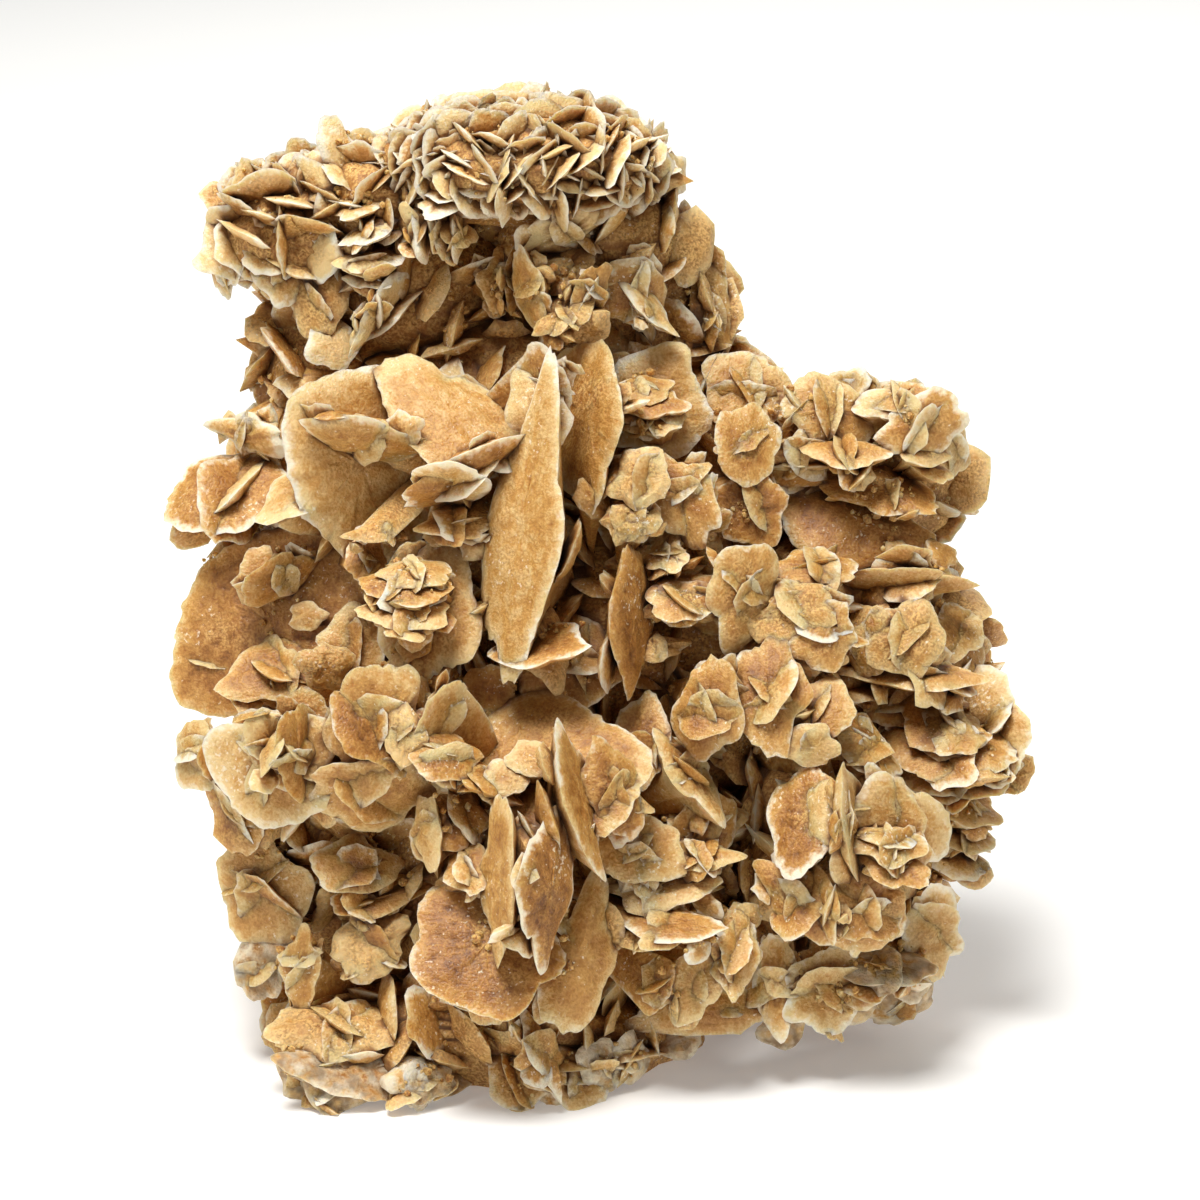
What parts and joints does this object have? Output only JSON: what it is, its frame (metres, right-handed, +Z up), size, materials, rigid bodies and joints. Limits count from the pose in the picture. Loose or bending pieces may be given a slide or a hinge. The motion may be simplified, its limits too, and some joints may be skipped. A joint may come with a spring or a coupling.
{
  "type": "gypsum sand rose",
  "caption": "Natural sand rose: honey-coloured lens-shaped gypsum blades grown through one another into a standing cluster with a crown of small blades and a flat broken base.",
  "frame": {"origin": "on the resting plane, under the middle of the bounding box", "axes": "+Z up, from the flat base to the crown; -Y towards the front that the picture shows; +X to the right of that front"},
  "size_m": [0.1724, 0.1374, 0.188],
  "materials": {
    "gypsum": "waxy translucent sandy gypsum, frosted pale edges, sand in the crevices"
  },
  "bodies": {
    "root": {"sand_rose": "gypsum"}
  },
  "joints": []
}
